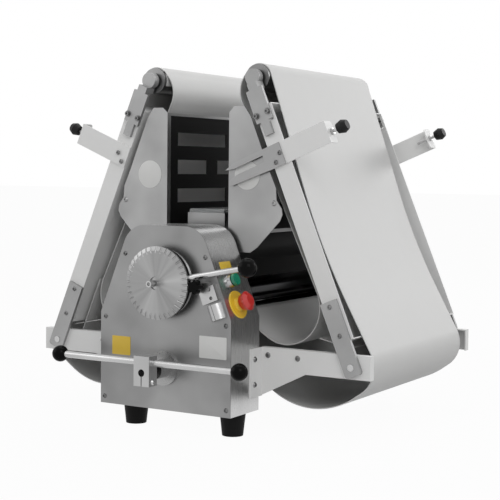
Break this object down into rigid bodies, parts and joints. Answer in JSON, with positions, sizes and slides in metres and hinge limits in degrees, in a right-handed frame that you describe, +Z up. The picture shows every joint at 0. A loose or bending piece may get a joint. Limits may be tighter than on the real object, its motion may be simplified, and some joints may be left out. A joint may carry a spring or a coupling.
{
  "type": "dough sheeter",
  "caption": "Table-top dough sheeter with a roller head between two housings, a thickness dial, roller guards and two belt tables that fold up for storage.",
  "frame": {"origin": "centre of the machine's footprint on the bench, with the tables folded up", "axes": "+X along the belts to the right as seen from the control side, +Y from the control side to the back, +Z up"},
  "size_m": [0.876, 0.9178, 0.8201],
  "materials": {
    "stainless": "brushed",
    "white_paint": "satin",
    "grey_steel": "zinc plated",
    "black_plastic": "matt",
    "dark_rollers": "turned",
    "rubber": "moulded",
    "belt": "smooth PVC",
    "aluminium": "turned",
    "steel": "bright",
    "red_plastic": "gloss",
    "yellow_plastic": "satin",
    "green_plastic": "gloss",
    "clear_plastic": "clear",
    "cast_iron": "painted"
  },
  "bodies": {
    "base": {"bearings": "steel", "button_screws": "steel", "clear_lid": "clear_plastic", "dial_flange": "aluminium", "drive_chain": "steel", "estop_base": "yellow_plastic", "front_cover": "stainless", "front_housing": "stainless", "gear_motor": "cast_iron", "hinge_pins": "steel", "rear_cover": "stainless", "rear_housing": "stainless", "reverse_flange": "aluminium", "roller_hoods": "black_plastic", "rubber_feet": "rubber", "scrapers": "black_plastic", "side_plates": "grey_steel", "start_bezel": "aluminium", "stop_block": "aluminium", "support_brackets": "white_paint", "tie_bars": "steel", "top_cover": "stainless"},
    "lower_roller": {"lower_roller": "dark_rollers"},
    "drive_roller_right": {"drive_roller_right": "dark_rollers"},
    "drive_roller_left": {"drive_roller_left": "dark_rollers"},
    "lift": {"lift_blocks": "aluminium"},
    "upper_roller": {"upper_roller": "dark_rollers"},
    "dial": {"dial_disc": "aluminium", "dial_screw": "steel", "dial_ring": "black_plastic", "lever_rod": "steel", "lever_ball": "black_plastic"},
    "clamp_knob": {"clamp_knob": "black_plastic"},
    "reverser": {"reverse_shaft": "steel", "reverse_clamp": "aluminium", "reverse_bar": "steel", "reverse_balls": "black_plastic"},
    "start_button": {"start_button": "green_plastic"},
    "estop_button": {"estop_button": "red_plastic"},
    "guard_right": {"guard_right_frame": "stainless", "guard_right_wall": "black_plastic"},
    "guard_left": {"guard_left_frame": "stainless", "guard_left_wall": "black_plastic"},
    "table_right": {"table_right_leg_feet": "rubber", "table_right_legs": "white_paint", "table_right_links": "grey_steel", "table_right_pin_fork": "grey_steel", "table_right_screws": "steel", "table_right_tension_plates": "grey_steel", "table_right_tray": "white_paint", "belt_right": "belt"},
    "end_roller_right": {"table_right_end_roller": "dark_rollers"},
    "table_left": {"table_left_leg_feet": "rubber", "table_left_legs": "white_paint", "table_left_links": "grey_steel", "table_left_screws": "steel", "table_left_tension_plates": "grey_steel", "table_left_tray": "white_paint", "belt_left": "belt"},
    "end_roller_left": {"table_left_end_roller": "dark_rollers"}
  },
  "joints": [
    {"name": "table_right_fold", "type": "hinge", "parent": "base", "child": "table_right", "pos_m": [0.396, 0.0416, 0.167], "axis": [0, 1, 0], "range_deg": [0, 110.4], "deforming": ["belt_right"]},
    {"name": "table_left_fold", "type": "hinge", "parent": "base", "child": "table_left", "pos_m": [-0.396, 0.0416, 0.167], "axis": [0, -1, 0], "range_deg": [0, 110.4], "deforming": ["belt_left"]},
    {"name": "guard_right_swing", "type": "hinge", "parent": "base", "child": "guard_right", "pos_m": [0.095, 0.0416, 0.417], "axis": [0, 1, 0], "range_deg": [0, 90]},
    {"name": "guard_left_swing", "type": "hinge", "parent": "base", "child": "guard_left", "pos_m": [-0.095, 0.0416, 0.417], "axis": [0, -1, 0], "range_deg": [0, 90]},
    {"name": "dial_turn", "type": "hinge", "parent": "base", "child": "dial", "pos_m": [0, -0.3984, 0.336], "axis": [0, -1, 0], "range_deg": [0, 160]},
    {"name": "roller_lift", "type": "slide", "parent": "base", "child": "lift", "axis": [0, 0, 1], "range_m": [0, 0.035]},
    {"name": "lower_roller_spin", "type": "hinge", "parent": "base", "child": "lower_roller", "pos_m": [0, 0.0416, 0.232], "axis": [0, 1, 0], "continuous": true},
    {"name": "upper_roller_spin", "type": "hinge", "parent": "lift", "child": "upper_roller", "pos_m": [0, 0.0416, 0.293], "axis": [0, 1, 0], "continuous": true},
    {"name": "drive_roller_right_spin", "type": "hinge", "parent": "base", "child": "drive_roller_right", "pos_m": [0.075, 0.0416, 0.232], "axis": [0, 1, 0], "continuous": true},
    {"name": "drive_roller_left_spin", "type": "hinge", "parent": "base", "child": "drive_roller_left", "pos_m": [-0.075, 0.0416, 0.232], "axis": [0, 1, 0], "continuous": true},
    {"name": "end_roller_right_spin", "type": "hinge", "parent": "table_right", "child": "end_roller_right", "pos_m": [0.13884, 0.0416, 0.78785], "axis": [0, 1, 0], "continuous": true},
    {"name": "end_roller_left_spin", "type": "hinge", "parent": "table_left", "child": "end_roller_left", "pos_m": [-0.13884, 0.0416, 0.78785], "axis": [0, 1, 0], "continuous": true},
    {"name": "clamp_knob_turn", "type": "hinge", "parent": "base", "child": "clamp_knob", "pos_m": [0.101, -0.4024, 0.333], "axis": [0, -1, 0], "range_deg": [0, 180]},
    {"name": "reversing_bar_tilt", "type": "hinge", "parent": "base", "child": "reverser", "pos_m": [0, -0.4184, 0.147], "axis": [0, 1, 0], "range_deg": [-18, 18]},
    {"name": "start_button_press", "type": "slide", "parent": "base", "child": "start_button", "axis": [-0.9293, 0, -0.3693], "range_m": [0, 0.003], "stiffness_N_per_m": 300},
    {"name": "emergency_stop_press", "type": "slide", "parent": "base", "child": "estop_button", "axis": [-0.9293, 0, -0.3693], "range_m": [0, 0.003], "stiffness_N_per_m": 400}
  ],
  "couplings": [
    {"joint": "guard_right_swing", "follows": "table_right_fold", "ratio": 0.815},
    {"joint": "guard_left_swing", "follows": "table_left_fold", "ratio": 0.815},
    {"joint": "roller_lift", "follows": "dial_turn", "m_per_rad": 0.0125},
    {"joint": "upper_roller_spin", "follows": "lower_roller_spin", "ratio": -1},
    {"joint": "drive_roller_right_spin", "follows": "lower_roller_spin", "ratio": 1},
    {"joint": "drive_roller_left_spin", "follows": "lower_roller_spin", "ratio": 1},
    {"joint": "end_roller_right_spin", "follows": "lower_roller_spin", "ratio": 1},
    {"joint": "end_roller_left_spin", "follows": "lower_roller_spin", "ratio": 1}
  ]
}
